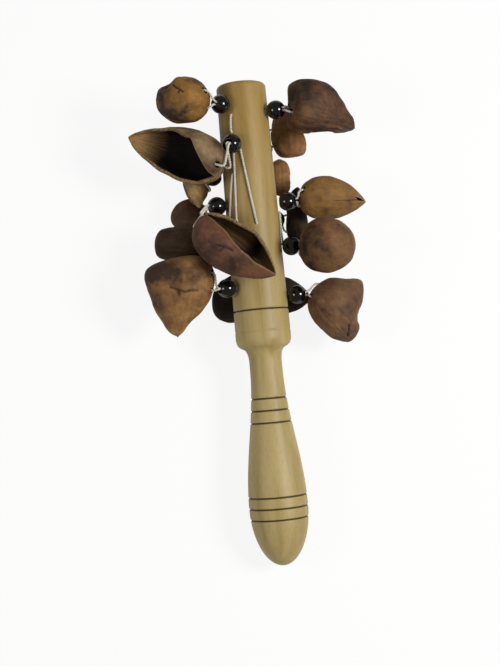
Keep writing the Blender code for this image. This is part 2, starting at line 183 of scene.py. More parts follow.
# The stick: one piece of pale close-grained wood, turned on a lathe. The waisted grip swells to a
# round butt, the head is a straight drum with rounded edges, and fine grooves are burnt in with a
# wire while it spins. Cord holes are drilled through the head.
HEAD_TOP_RADIUS = 11.7 * MM
HEAD_FOOT_RADIUS = 13.1 * MM
HEAD_EDGE_ROUND = 2.2 * MM
SHOULDER_AT = 107.5 * MM
SHOULDER_ROUND = 4.5 * MM
NECK_FILLET = 6.5 * MM
NECK_FILLET_RISE = 3.2 * MM
NECK_AT = 93 * MM
NECK_RADIUS = 7.7 * MM
GRIP_AT = 27.5 * MM
GRIP_RADIUS = 13.9 * MM
GROOVE_HALF_WIDTH = 0.55 * MM
GROOVE_DEPTH = 0.5 * MM
GROOVES_AT = [value * MM for value in (22.3, 27.5, 32.7, 67.3, 73, 78.7, 120.4)]
SCORE_AT = 110.5 * MM
SCORE_DEPTH = 0.15 * MM
GROOVE_STEPS = 3
OUTLINE_STEP = 0.7 * MM
MERGE_DISTANCE = 0.01 * MM
STICK_SIDES = 96
STICK_HOLE_RADIUS = 1.7 * MM
STICK_HOLE_SIDES = 24
BEAD_RADIUS = 4.45 * MM


def stick_radius(along):
    """Radius of the turned stick at a distance from its butt end, without its grooves."""
    shoulder_start = SHOULDER_AT - SHOULDER_ROUND
    if along <= GRIP_AT:
        return GRIP_RADIUS * sqrt(max(0.0, 1 - ((GRIP_AT - along) / GRIP_AT) ** 2))
    if along <= NECK_AT:
        share = (along - GRIP_AT) / (NECK_AT - GRIP_AT)
        return NECK_RADIUS + (GRIP_RADIUS - NECK_RADIUS) * (1 + cos(pi * share)) / 2
    if along <= shoulder_start:
        share = max(0.0, (along - shoulder_start + NECK_FILLET) / NECK_FILLET)
        return NECK_RADIUS + NECK_FILLET_RISE * (1 - sqrt(1 - share ** 2))
    if along <= SHOULDER_AT:
        share = (SHOULDER_AT - along) / SHOULDER_ROUND
        rise = HEAD_FOOT_RADIUS - NECK_RADIUS - NECK_FILLET_RISE
        return HEAD_FOOT_RADIUS - rise * (1 - sqrt(1 - share ** 2))
    share = (along - SHOULDER_AT) / (STICK_LENGTH - HEAD_EDGE_ROUND - SHOULDER_AT)
    radius = HEAD_FOOT_RADIUS + (HEAD_TOP_RADIUS - HEAD_FOOT_RADIUS) * share
    past_edge = along - (STICK_LENGTH - HEAD_EDGE_ROUND)
    if past_edge > 0:
        radius = HEAD_TOP_RADIUS - HEAD_EDGE_ROUND
        radius += sqrt(max(0.0, HEAD_EDGE_ROUND ** 2 - past_edge ** 2))
    return radius


def groove_share(along):
    """How deep in a groove a place on the stick lies, from 0 beside it to 1 at its bottom."""
    nearest = min(abs(along - at) for at in GROOVES_AT)
    return max(0.0, 1 - nearest / GROOVE_HALF_WIDTH)


def turned_radius(along):
    """Radius of the finished stick, with its burnt grooves and the faint scored line at the shoulder."""
    groove = sin(pi / 2 * groove_share(along)) * GROOVE_DEPTH
    score = max(0.0, 1 - abs(along - SCORE_AT) / GROOVE_HALF_WIDTH) * SCORE_DEPTH
    return stick_radius(along) - groove - score


def outline_places():
    """Distances along the stick for its outline, closer together at the ends and in the grooves."""
    count = round(STICK_LENGTH / OUTLINE_STEP)
    places = [STICK_LENGTH * (1 - cos(pi * i / count)) / 2 for i in range(count + 1)]
    for at in GROOVES_AT + [SCORE_AT]:
        places = [place for place in places if abs(place - at) > 2 * GROOVE_HALF_WIDTH]
        steps = range(-GROOVE_STEPS - 1, GROOVE_STEPS + 2)
        places += [at + GROOVE_HALF_WIDTH * step / GROOVE_STEPS for step in steps]
    return sorted(places)


# Wood: a pale hardwood, sanded and waxed. It shows fine pores drawn out along the grain, soft wider
# streaks, and a slight sheen; the grooves are charred nearly black.
WOOD_LIGHT = "#b5a06c"
WOOD_MAIN = "#aa9560"
WOOD_DARK = "#978250"
WOOD_PORE = "#7a6536"
WOOD_CHAR = "#3a2a12"
HEAD_TINT = "#e9d6ae"
PORE_WIDTH = 0.4 * MM
PORE_LENGTH = 6 * MM
STREAK_WIDTH = 7 * MM
STREAK_SHORTENING = 0.06
BURN_SPREAD = 1.6

wood, tree, out = new_material("turned_hardwood")
coordinates = add(tree, "ShaderNodeTexCoord")
grain = add(tree, "ShaderNodeMapping", {
    "Vector": coordinates.outputs["Object"],
    "Rotation": stick_place.to_3x3().inverted().to_euler()}, vector_type="POINT")
pore_scale = add(tree, "ShaderNodeMapping", {
    "Vector": grain.outputs[0], "Scale": (1 / PORE_WIDTH, 1 / PORE_LENGTH, 1 / PORE_WIDTH)})
pores = add(tree, "ShaderNodeTexNoise", {
    "Vector": pore_scale.outputs[0], "Scale": 1.0, "Detail": 3.0, "Roughness": 0.6})
streak_scale = add(tree, "ShaderNodeMapping", {
    "Vector": grain.outputs[0],
    "Scale": (1 / STREAK_WIDTH, STREAK_SHORTENING / STREAK_WIDTH, 1 / STREAK_WIDTH)})
streaks = add(tree, "ShaderNodeTexNoise", {
    "Vector": streak_scale.outputs[0], "Scale": 1.0, "Detail": 4.0, "Roughness": 0.55, "Distortion": 0.6})
streak_tone = add(tree, "ShaderNodeValToRGB", {"Fac": streaks.outputs["Fac"]})
streak_tone.color_ramp.elements[0].position = 0.3
streak_tone.color_ramp.elements[0].color = linear(WOOD_DARK)
streak_tone.color_ramp.elements[1].position = 0.72
streak_tone.color_ramp.elements[1].color = linear(WOOD_LIGHT)
streak_tone.color_ramp.elements.new(0.5).color = linear(WOOD_MAIN)
pore_tone = add(tree, "ShaderNodeMapRange", {
    "Value": pores.outputs["Fac"], "From Min": 0.54, "From Max": 0.74, "To Min": 0.0, "To Max": 0.4})
grained = add(tree, "ShaderNodeMix", {
    "Factor": pore_tone.outputs[0], 6: streak_tone.outputs[0], 7: linear(WOOD_PORE)}, data_type="RGBA")
burn = add(tree, "ShaderNodeAttribute", attribute_name="burn")
charred = add(tree, "ShaderNodeMix", {
    "Factor": burn.outputs["Fac"], 6: grained.outputs[2], 7: linear(WOOD_CHAR)}, data_type="RGBA")
# From the shoulder to the top, the head is made darker and warmer.
grain_place = add(tree, "ShaderNodeSeparateXYZ", {"Vector": grain.outputs[0]})
butt_along = stick_axis.dot(butt_end)
towards_top = add(tree, "ShaderNodeMapRange", {
    "Value": grain_place.outputs["Y"], "From Min": butt_along + SHOULDER_AT,
    "From Max": butt_along + STICK_LENGTH})
head_tinted = add(tree, "ShaderNodeMix", {
    "Factor": towards_top.outputs[0], 6: charred.outputs[2], 7: linear(HEAD_TINT)},
    data_type="RGBA", blend_type="MULTIPLY")
sheen_range = add(tree, "ShaderNodeMapRange", {
    "Value": streaks.outputs["Fac"], "To Min": 0.38, "To Max": 0.55})
relief = add(tree, "ShaderNodeBump", {
    "Height": pores.outputs["Fac"], "Strength": 0.12, "Distance": 0.0003})
surface = add(tree, "ShaderNodeBsdfPrincipled", {
    "Base Color": head_tinted.outputs[2], "Roughness": sheen_range.outputs[0], "Normal": relief.outputs[0],
    "IOR": 1.5, "Specular IOR Level": 0.35})
tree.links.new(surface.outputs[0], out.inputs["Surface"])

shape = bmesh.new()
outline = [shape.verts.new((turned_radius(along), along, 0)) for along in outline_places()]
outline.append(shape.verts.new((0, STICK_LENGTH, 0)))
edges = [shape.edges.new(pair) for pair in zip(outline, outline[1:])]
bmesh.ops.spin(shape, geom=outline + edges, axis=(0, 1, 0), cent=(0, 0, 0), angle=2 * pi,
               steps=STICK_SIDES, use_merge=True)
bmesh.ops.remove_doubles(shape, verts=shape.verts, dist=MERGE_DISTANCE)
bmesh.ops.recalc_face_normals(shape, faces=shape.faces)
burn_layer = shape.verts.layers.float.new("burn")
for vert in shape.verts:
    vert[burn_layer] = min(1.0, BURN_SPREAD * groove_share(vert.co.y))
bmesh.ops.transform(shape, matrix=stick_place, verts=shape.verts)
stick = new_piece("turned_stick", shape, [wood])

joints = {joint["name"]: joint for joint in frame["record"]["behaviour"]["joints"]}
hole_names = [name.removeprefix("swing_") for name in joints if name.startswith("swing_")]


def hole_mouth(name):
    """The mouth of a cord hole on the head, and the way straight out of it."""
    mouth = Vector(joints["swing_" + name]["pos_m"])
    middle = butt_end + stick_axis * (mouth - butt_end).dot(stick_axis)
    return mouth, (mouth - middle).normalized()


def row_middle(name):
    """Where the holes of a row meet in the middle of the head."""
    row = [hole_mouth(other)[0] for other in hole_names if other.split("_")[0] == name.split("_")[0]]
    along = sum((mouth - butt_end).dot(stick_axis) for mouth in row) / len(row)
    return butt_end + stick_axis * along


drill = bmesh.new()
for name in hole_names:
    mouth, outward = hole_mouth(name)
    inner = row_middle(name)
    run = mouth + (mouth - inner).normalized() * BEAD_RADIUS - inner
    aim = run.to_track_quat("Z", "Y").to_matrix().to_4x4()
    bmesh.ops.create_cone(drill, cap_ends=True, segments=STICK_HOLE_SIDES, radius1=STICK_HOLE_RADIUS,
                          radius2=STICK_HOLE_RADIUS, depth=run.length + 2 * STICK_HOLE_RADIUS,
                          matrix=Matrix.Translation(inner + run / 2) @ aim)
drill_piece = new_piece("drill", drill, [])
holes = stick.modifiers.new("holes", "BOOLEAN")
holes.operation = "DIFFERENCE"
holes.solver = "EXACT"
holes.use_self = True
holes.object = drill_piece
drilled = bpy.data.meshes.new_from_object(stick.evaluated_get(bpy.context.evaluated_depsgraph_get()))
stick.modifiers.clear()
stick.data = drilled
bpy.data.objects.remove(drill_piece)
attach(stick, "stick")
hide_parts("stick")

# The beads: one black glass bead sits at each cord hole, pressed round and fire-polished, with a bore
# that both strands of the cord go through. It turns round the stick with its cord.
BEAD_BORE_RADIUS = 1.75 * MM
BEAD_GAP = 0.5 * MM
BEAD_EDGE = 0.35 * MM
BEAD_EDGE_STEPS = 3
SHARP_ANGLE = 1.0
BEAD_ROWS = 28
BEAD_SIDES = 48
BEAD_BLACK = "#070606"
BEAD_HAZE_SIZE = 1.5 * MM

bead_glass, tree, out = new_material("black_glass")
coordinates = add(tree, "ShaderNodeTexCoord")
haze = add(tree, "ShaderNodeTexNoise", {
    "Vector": coordinates.outputs["Object"], "Scale": 1 / BEAD_HAZE_SIZE, "Detail": 3.0})
polish = add(tree, "ShaderNodeMapRange", {"Value": haze.outputs["Fac"], "To Min": 0.05, "To Max": 0.14})
surface = add(tree, "ShaderNodeBsdfPrincipled", {
    "Base Color": linear(BEAD_BLACK), "Roughness": polish.outputs[0], "IOR": 1.52})
tree.links.new(surface.outputs[0], out.inputs["Surface"])

for name in hole_names:
    mouth, outward = hole_mouth(name)
    shape = bmesh.new()
    bore_edge = atan2(BEAD_BORE_RADIUS, sqrt(BEAD_RADIUS ** 2 - BEAD_BORE_RADIUS ** 2))
    angles = [bore_edge + (pi - 2 * bore_edge) * i / BEAD_ROWS for i in range(BEAD_ROWS + 1)]
    outline = [shape.verts.new((BEAD_RADIUS * sin(a), 0, BEAD_RADIUS * cos(a))) for a in angles]
    edges = [shape.edges.new(pair) for pair in zip(outline, outline[1:] + outline[:1])]
    bmesh.ops.spin(shape, geom=outline + edges, axis=(0, 0, 1), cent=(0, 0, 0), angle=2 * pi,
                   steps=BEAD_SIDES, use_merge=True)
    bmesh.ops.remove_doubles(shape, verts=shape.verts, dist=MERGE_DISTANCE)
    bmesh.ops.recalc_face_normals(shape, faces=shape.faces)
    sharp = [edge for edge in shape.edges if edge.calc_face_angle(0) > SHARP_ANGLE]
    bmesh.ops.bevel(shape, geom=sharp, offset=BEAD_EDGE, segments=BEAD_EDGE_STEPS, profile=0.5,
                    affect="EDGES", material=-1)
    stand = outward.to_track_quat("Z", "Y").to_matrix().to_4x4()
    centre = mouth + outward * (BEAD_GAP + BEAD_RADIUS)
    bmesh.ops.transform(shape, matrix=Matrix.Translation(centre) @ stand, verts=shape.verts)
    bead = new_piece("black_bead_" + name, shape, [bead_glass])
    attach(bead, "bead_" + name)
    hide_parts("bead_" + name)

# The pods: dried seed shells of many sizes, each a hollow woody hull split open along one side. Each
# hangs by two cord holes in its base or its back, at its own angle, as it fell when the rattle was laid
# down. Its seat is the middle between its holes.
POD_WALL = 1.6 * MM
POD_HOLE_RADIUS = 1.6 * MM
POD_HOLE_SPREAD = 4.2 * MM
POD_BACK_SHARE = 0.6
BACK_SEAT_AT = 0.42
POD_ROWS = 96
POD_SIDES = 150
POD_BASE = 0.45
MOUTH_EASE = 0.7
BEND_POWER = 3
SLANT_POWER = 6
SEAT_SEARCH_END = 0.3
SEAT_SEARCH_STEPS = 30

# A pod lies by its own axes: heading is the way it points from its cord, seen from above, dip how far
# it slopes down, and roll how far its mouth turns from up. Its size is length, width and depth in mm.
# base and tip tell how pointed its ends are, bend is the side that its tip bends to, and slant the side
# where its base stands out, both with how many mm. gape is the half angle of its mouth, split where the
# mouth starts and ends along the pod, turn and sway how far it lies to one side, all of it or only its
# start, ease how slowly it opens and late how near the tip it is widest. spread is how far the pair of
# cord holes turns, and lead how many mm the cord goes straight in. Spots are given by their share of the
# pod's length and their turn round it: a lump has a height and a size in mm, a spot of painted shade
# outside and a lit place inside, where the lining's painted shade gives way to tan, a size in mm and a
# strength, and a crack is a line of spots.
PODS = {
    "1_left": dict(
        seat="base", heading=171, dip=26, roll=150, size=(26, 22, 21.5), gape=30, split=(0.2, 0.97),
        tip=0.5,
        lumps=[(0.75, 300, -2.8, 5), (0.68, 250, -2.8, 3), (0.48, 262, 0.8, 3.5), (0.4, 165, 0.6, 5),
               (0.52, 131, -0.9, 5.5), (0.1, 35, -0.5, 3)],
        cracks=[[(0.5, 240), (0.43, 233), (0.34, 227), (0.28, 221)], [(0.34, 227), (0.36, 219)]],
        shade_spots=[(0.6, 170, 9, 0.9), (0.75, 205, 7, 0.8), (0.35, 130, 6, 0.7)],
        tones=("#9b6d2f", "#7c5829", "#2e2015")),
    "1_right": dict(
        seat="base", heading=-15, dip=14, roll=115, size=(32.5, 22, 25), gape=40, split=(0.15, 0.97),
        base=0.17, tip=0.6, wrinkle=4.0, bend=(320, 2), slant=(148, 4.5), lead=2.8,
        lumps=[(0.5, 166, 2.2, 8), (0.6, 335, -1.5, 9), (0.06, 160, -0.8, 4), (0.84, 185, -1.0, 5),
               (0.88, 338, -0.9, 3)],
        shade_spots=[(0.03, 200, 8, 0.8), (0.5, 190, 6, 0.5), (0.5, 310, 8, 0.6), (0.9, 260, 6, 0.4)],
        tones=("#7a5135", "#4f3623", "#261910")),
    "2_front": dict(
        seat="base", heading=155, dip=18, roll=-8, spread=90, size=(50, 25, 25), gape=78, sway=-78,
        split=(0.035, 0.98), ease=0.18, late=2.5, tip=0.8, lead=4.0,
        lumps=[(0.15, 45, 1.0, 6), (0.22, 20, -0.8, 4), (0.3, 50, 0.8, 5), (0.57, 100, -0.7, 5)],
        shade_spots=[(0.06, 80, 6, 0.8), (0.05, 0, 5, 0.5)], tones=("#9b8360", "#786044", "#443222")),
    "2_back": dict(
        seat="back", heading=3, dip=0, roll=0, size=(25, 15, 19), gape=58, split=(0.02, 0.98),
        base=0.2, tip=0.35, lumps=[(0.38, 304, 1.4, 4), (0.08, 342, -1.1, 6), (0.14, 29, -1.1, 6)],
        shade_spots=[(0.2, 250, 6, 0.4)], tones=("#94693d", "#7d5932", "#4a321d")),
    "3_left": dict(
        seat="back", heading=180, dip=0, roll=26, size=(23, 12, 13), gape=30, split=(0.2, 0.97),
        tip=0.85, bend=(180, 2.5),
        lumps=[(0.6, 262, -0.7, 2.5), (0.78, 262, -0.5, 2.5), (0.29, 201, -0.6, 2.5)],
        shade_spots=[(0.45, 235, 5, 0.5)],
        tones=("#c2a671", "#a08253", "#5c4228")),
    "3_back": dict(
        seat="back", heading=0, dip=0, roll=0, size=(19, 13, 15), gape=40, split=(0.1, 0.97),
        base=0.8, tip=0.7, lumps=[(0.54, 214, -0.8, 4)], tones=("#9c7346", "#866138", "#4c341e")),
    "4_left": dict(
        seat="base", heading=-41, dip=-6, roll=-55, spread=90, size=(44, 24, 23), gape=46, turn=5,
        split=(0.05, 0.985), ease=0.16, late=3.3, tip=0.8,
        lit_lining=[(0.15, 290, 8, 1.0), (0.3, 285, 9, 1.0), (0.44, 290, 8, 0.9)],
        lumps=[(0.36, 78, 0.9, 7), (0.55, 66, -0.8, 5), (0.7, 96, 0.6, 6), (0.62, 312, 2.4, 9),
               (0.57, 247, -1.4, 7), (0.29, 170, -1.0, 6)],
        cracks=[[(0.36, 70), (0.4, 66), (0.46, 62), (0.52, 60)], [(0.44, 63), (0.42, 76)]],
        shade_spots=[(0.3, 100, 9, 0.5), (0.62, 100, 8, 0.5), (0.12, 60, 5, 0.4)],
        tones=("#7d5239", "#603f2c", "#341f16")),
    "4_right": dict(
        seat="base", heading=-7, dip=12, roll=30, size=(32.5, 21, 19), gape=8, turn=-32,
        split=(0.78, 0.985), tip=0.8, lead=2.8, cracks=[[(0.46, 346), (0.65, 343), (0.8, 337), (0.9, 332)]],
        crack_size=0.5, shade_spots=[(0.4, 20, 7, 0.4), (0.02, 150, 5, 0.8), (0.75, 10, 6, 0.3)],
        tones=("#8c6835", "#795729", "#4a3219")),
    # Its tones are its own brown darkened with painted shade, as it lies low in the shade of its neighbours.
    "5_left": dict(
        seat="base", heading=184, dip=12, roll=160, size=(18.5, 18, 14), gape=30, split=(0.2, 0.97),
        tip=0.6, lumps=[(0.27, 246, -0.7, 4)], tones=("#5e4229", "#49331f", "#2b1c12")),
    # Its tones are its own brown darkened with painted shade, as it lies behind the stick in its shade.
    "5_back": dict(
        seat="back", heading=-90, dip=0, roll=0, size=(48, 11, 26), gape=40, split=(0.06, 0.97),
        base=0.4, tip=0.6, lumps=[(0.44, 266, -1.0, 8)], tones=("#40332b", "#2f241e", "#1d1511")),
    # Its tones are its own brown darkened with painted shade, as it lies low in the shade of its neighbours.
    "6_left": dict(
        seat="base", heading=172, dip=12, roll=180, spread=45, size=(25, 17.5, 17), gape=30,
        split=(0.2, 0.97), base=0.4, tip=0.45, lumps=[(0.9, 230, 2.2, 4), (0.9, 130, 2.0, 4)],
        shade_spots=[(0.8, 130, 6, 0.5)], tones=("#523a24", "#402c1a", "#27190e")),
    "6_right": dict(
        seat="base", heading=-5, dip=-22, roll=170, size=(26, 25.5, 24), gape=30, split=(0.2, 0.97),
        tip=0.5, lead=2.8, shade_spots=[(0.12, 190, 9, 0.9), (0.3, 240, 7, 0.5), (0.9, 150, 5, 0.4)],
        tones=("#7c5833", "#66472a", "#2c1b10")),
    "7_left": dict(
        seat="back", heading=188, dip=20, roll=0, size=(36, 22, 34), gape=30, split=(0.06, 0.97),
        base=0.3, tip=0.7, lead=1.8, bend=(0, 4.5),
        lumps=[(0.62, 215, 1.0, 7), (0.45, 262, -0.8, 4), (0.86, 190, -2.4, 8), (0.08, 325, 1.6, 6),
               (0.4, 184, -1.1, 4.5)],
        cracks=[[(0.38, 275), (0.43, 264), (0.48, 251), (0.48, 240), (0.5, 226)], [(0.43, 264), (0.49, 262)]],
        shade_spots=[(0.14, 300, 10, 1.0), (0.18, 265, 9, 1.0), (0.28, 240, 7, 0.7), (0.5, 305, 7, 0.6)],
        tones=("#a37d4c", "#855f35", "#3c281b")),
    "7_right": dict(
        seat="base", heading=-46, dip=14, roll=150, size=(30.5, 26, 23), gape=35, split=(0.25, 0.98),
        tip=0.6, wrinkle=2.5, bend=(295, 5),
        lumps=[(0.5, 120, 5.0, 6), (0.8, 118, -4.5, 4), (0.79, 155, -3.5, 3.5), (0.3, 205, 0.8, 6)],
        cracks=[[(0.7, 216), (0.77, 225), (0.83, 240)]],
        shade_spots=[(0.85, 220, 5, 0.7), (0.6, 190, 5, 0.5), (0.1, 200, 6, 0.4)],
        tones=("#7d5c3b", "#65472f", "#3b271b")),
    # Its tones are its own brown darkened with painted shade, as it lies behind the stick in its shade.
    "8_right": dict(
        seat="back", heading=0, dip=0, roll=0, size=(30, 12, 12), gape=40, split=(0.1, 0.97), tip=0.6,
        lumps=[(0.71, 299, -1.1, 5)], tones=("#3d2d20", "#2c2016", "#1b130d")),
}


def pod_fullness(pod, share):
    """Half width along a pod as a share of its widest: blunt at the base, pointed at the tip."""
    base = pod.get("base", POD_BASE)
    peak = base / (base + pod["tip"])
    return (share / peak) ** base * ((1 - share) / (1 - peak)) ** pod["tip"]


def pod_mouth(pod, share):
    """Half angle of the mouth at a place along the pod, nothing where it is closed, and its middle."""
    start, end = pod["split"]
    place = min(max((share - start) / (end - start), 0.0), 1.0) ** pod.get("late", 1.0)
    opening = max(sin(pi * place), 0.0) ** pod.get("ease", MOUTH_EASE)
    sway = pod.get("sway", 0) * (1 - opening if place < 0.5 else 0.0)
    return radians(pod["gape"]) * opening, radians(pod.get("turn", 0) + sway)


def plain_point(pod, share, angle):
    """A point on the plain pod, in its own axes: x across, y to the tip, z out of the mouth."""
    length, width, depth = (value * MM for value in pod["size"])
    full = pod_fullness(pod, share)
    across = width / 2 * full * sin(angle)
    up = depth * full * (cos(angle) / 2 + 0.5 - POD_BACK_SHARE)
    bend_turn, bend = pod.get("bend", (0, 0))
    aside = bend * MM * share ** BEND_POWER
    across += aside * sin(radians(bend_turn))
    up += aside * cos(radians(bend_turn))
    slant_turn, slant = pod.get("slant", (0, 0))
    near_slant = ((1 + cos(angle - radians(slant_turn))) / 2) ** SLANT_POWER
    standing_out = slant * MM * near_slant * full * (1 - share) ** BEND_POWER
    return Vector((across, length * share - standing_out, up))


def pod_point(pod, share, angle):
    """A point on the pod with its lumps and dents."""
    point = plain_point(pod, share, angle)
    lift = 0.0
    for along, turn, height, size in pod.get("lumps", []):
        gap = (point - plain_point(pod, along, radians(turn))).length
        lift += height * MM * exp(-(gap / (size * MM)) ** 2)
    outward = Vector((pod["size"][2] * sin(angle), 0, pod["size"][1] * cos(angle))).normalized()
    return point + outward * lift


def pod_seat(pod):
    """The middle of the wall between a pod's two cord holes, in the pod's own axes."""
    length, width, depth = (value * MM for value in pod["size"])
    if pod["seat"] == "back":
        back = depth * POD_BACK_SHARE * pod_fullness(pod, BACK_SEAT_AT)
        return Vector((0, length * BACK_SEAT_AT, POD_WALL / 2 - back))
    low, high = 0.0, SEAT_SEARCH_END
    for _ in range(SEAT_SEARCH_STEPS):
        share = (low + high) / 2
        if width / 2 * pod_fullness(pod, share) < POD_HOLE_SPREAD:
            low = share
        else:
            high = share
    middle = depth * pod_fullness(pod, low) * (0.5 - POD_BACK_SHARE)
    return Vector((0, length * low + POD_WALL / 2, middle if pod.get("spread") else 0))


def hole_axes(pod):
    """In the pod's own axes: the way from one cord hole to the other, and the way into the pod."""
    spread = radians(pod.get("spread", 0))
    if pod["seat"] == "back":
        return Vector((0, 1, 0)), Vector((0, 0, 1))
    return Vector((cos(spread), 0, sin(spread))), Vector((0, 1, 0))


def pod_place(name, pod):
    """Where a pod lies: its axes, with their origin between its two cord holes."""
    turn = Matrix.Rotation(radians(pod["heading"] - 90), 3, "Z")
    tilt = Matrix.Rotation(-radians(pod["dip"]), 3, "X")
    roll = Matrix.Rotation(radians(pod["roll"]), 3, "Y")
    axes = turn @ tilt @ roll
    if pod["seat"] == "back":
        axes = axes @ Matrix(((0, -1, 0), (0, 0, 1), (-1, 0, 0)))
    seat = Vector(joints["rock_" + name]["pos_m"])
    return Matrix.Translation(seat) @ (stick_turn @ axes).to_4x4()


# Pod shell: a dry, lignified hull, dull brown outside with blotches, faint lengthwise fibres and dark
# specks. The lining is painted nearly black deep inside as shade, and left tan towards the tip and the
# broken edge, where light reaches it.
FIBRE_COUNT = 60
FIBRE_LENGTHS = 3.0
BLOTCH_SIZE = 8 * MM
MOTTLE_SIZE = 2.2 * MM
SPECK_SIZE = 0.7 * MM
CRACK_PAINTED_SHADE = "#140c07"
EDGE_TAN = "#8f7449"
EDGE_BROWN = "#4d3722"
LINING_PAINTED_SHADE = "#140d08"
LINING_TAN = "#a27f50"
EDGE_REACH = 3 * MM
TAN_FROM = 0.6
TAN_WHOLE = 0.92


def shell_material(name, tones):
    """The outside of one pod, in its own light, middle and dark tone."""
    light, middle, dark = (linear(tone) for tone in tones)
    made, tree, out = new_material(name)
    coordinates = add(tree, "ShaderNodeTexCoord")
    blotches = add(tree, "ShaderNodeTexNoise", {
        "Vector": coordinates.outputs["Object"], "Scale": 1 / BLOTCH_SIZE, "Detail": 6.0, "Roughness": 0.58})
    # Spots of painted shade darken the blotches on the sides of the pod that lie in shade.
    painted_shade = add(tree, "ShaderNodeAttribute", attribute_name="painted_shade")
    blotches_shaded = add(tree, "ShaderNodeMath", {
        0: painted_shade.outputs["Fac"], 1: -0.34, 2: blotches.outputs["Fac"]}, operation="MULTIPLY_ADD")
    tone = add(tree, "ShaderNodeValToRGB", {"Fac": blotches_shaded.outputs[0]})
    tone.color_ramp.elements[0].position = 0.22
    tone.color_ramp.elements[0].color = dark
    tone.color_ramp.elements[1].position = 0.7
    tone.color_ramp.elements[1].color = light
    tone.color_ramp.elements.new(0.45).color = middle
    mottle = add(tree, "ShaderNodeTexNoise", {
        "Vector": coordinates.outputs["Object"], "Scale": 1 / MOTTLE_SIZE, "Detail": 4.0, "Roughness": 0.6})
    fibre_scale = add(tree, "ShaderNodeMapping", {
        "Vector": coordinates.outputs["UV"], "Scale": (FIBRE_COUNT, FIBRE_LENGTHS, 1)})
    fibres = add(tree, "ShaderNodeTexNoise", {
        "Vector": fibre_scale.outputs[0], "Scale": 1.0, "Detail": 4.0, "Roughness": 0.65, "Distortion": 0.8})
    grain = add(tree, "ShaderNodeMath", {
        0: fibres.outputs["Fac"], 1: 0.45, 2: mottle.outputs["Fac"]}, operation="MULTIPLY_ADD")
    grain_tone = add(tree, "ShaderNodeMapRange", {
        "Value": grain.outputs[0], "From Min": 0.5, "From Max": 0.95, "To Min": 0.8, "To Max": 1.16})
    grained = add(tree, "ShaderNodeVectorMath", {
        0: tone.outputs[0], "Scale": grain_tone.outputs[0]}, operation="SCALE")
    specks = add(tree, "ShaderNodeTexNoise", {
        "Vector": coordinates.outputs["Object"], "Scale": 1 / SPECK_SIZE, "Detail": 2.0})
    speck_mask = add(tree, "ShaderNodeMapRange", {
        "Value": specks.outputs["Fac"], "From Min": 0.62, "From Max": 0.74, "To Min": 0.0, "To Max": 0.5})
    specked = add(tree, "ShaderNodeMix", {
        "Factor": speck_mask.outputs[0], 6: grained.outputs[0], 7: dark}, data_type="RGBA")
    edge = add(tree, "ShaderNodeAttribute", attribute_name="edge")
    worn = add(tree, "ShaderNodeMapRange", {
        "Value": edge.outputs["Fac"], "From Min": 0.8, "From Max": 1.0, "To Min": 0.0, "To Max": 0.6})
    edged = add(tree, "ShaderNodeMix", {
        "Factor": worn.outputs[0], 6: specked.outputs[2], 7: linear(EDGE_TAN)}, data_type="RGBA")
    # Cracks are painted near black: painted shade in the splits, over the shallow groove pressed in for them.
    crack = add(tree, "ShaderNodeAttribute", attribute_name="crack")
    cracked = add(tree, "ShaderNodeMix", {
        "Factor": crack.outputs["Fac"], 6: edged.outputs[2], 7: linear(CRACK_PAINTED_SHADE)}, data_type="RGBA")
    gloss = add(tree, "ShaderNodeMapRange", {
        "Value": mottle.outputs["Fac"], "To Min": 0.5, "To Max": 0.8})
    heights = add(tree, "ShaderNodeMath", {
        0: grain.outputs[0], 1: specks.outputs["Fac"]}, operation="SUBTRACT")
    relief = add(tree, "ShaderNodeBump", {
        "Height": heights.outputs[0], "Strength": 0.3, "Distance": 0.0004})
    surface = add(tree, "ShaderNodeBsdfPrincipled", {
        "Base Color": cracked.outputs[2], "Roughness": gloss.outputs[0], "Normal": relief.outputs[0],
        "IOR": 1.5, "Specular IOR Level": 0.25})
    tree.links.new(surface.outputs[0], out.inputs["Surface"])
    return made


lining, tree, out = new_material("pod_lining")
coordinates = add(tree, "ShaderNodeTexCoord")
fibre_scale = add(tree, "ShaderNodeMapping", {
    "Vector": coordinates.outputs["UV"], "Scale": (FIBRE_COUNT, FIBRE_LENGTHS, 1)})
fibres = add(tree, "ShaderNodeTexNoise", {
    "Vector": fibre_scale.outputs[0], "Scale": 1.0, "Detail": 3.0, "Roughness": 0.6})
# The lining is painted near black as shade, lifted to tan near the broken edge, towards the tip and at the
# lit places.
edge = add(tree, "ShaderNodeAttribute", attribute_name="edge")
lit_lining = add(tree, "ShaderNodeAttribute", attribute_name="lit_lining")
most = add(tree, "ShaderNodeMath", {0: edge.outputs["Fac"], 1: lit_lining.outputs["Fac"]}, operation="MAXIMUM")
paleness = add(tree, "ShaderNodeMath", {0: most.outputs[0], 1: fibres.outputs["Fac"]}, operation="MULTIPLY")
pale = add(tree, "ShaderNodeMapRange", {
    "Value": paleness.outputs[0], "From Min": 0.12, "From Max": 0.55})
lining_tone = add(tree, "ShaderNodeMix", {
    "Factor": pale.outputs[0], 6: linear(LINING_PAINTED_SHADE), 7: linear(LINING_TAN)}, data_type="RGBA")
relief = add(tree, "ShaderNodeBump", {"Height": fibres.outputs["Fac"], "Strength": 0.3, "Distance": 0.0004})
surface = add(tree, "ShaderNodeBsdfPrincipled", {
    "Base Color": lining_tone.outputs[2], "Roughness": 0.85, "Normal": relief.outputs[0],
    "Specular IOR Level": 0.2})
tree.links.new(surface.outputs[0], out.inputs["Surface"])

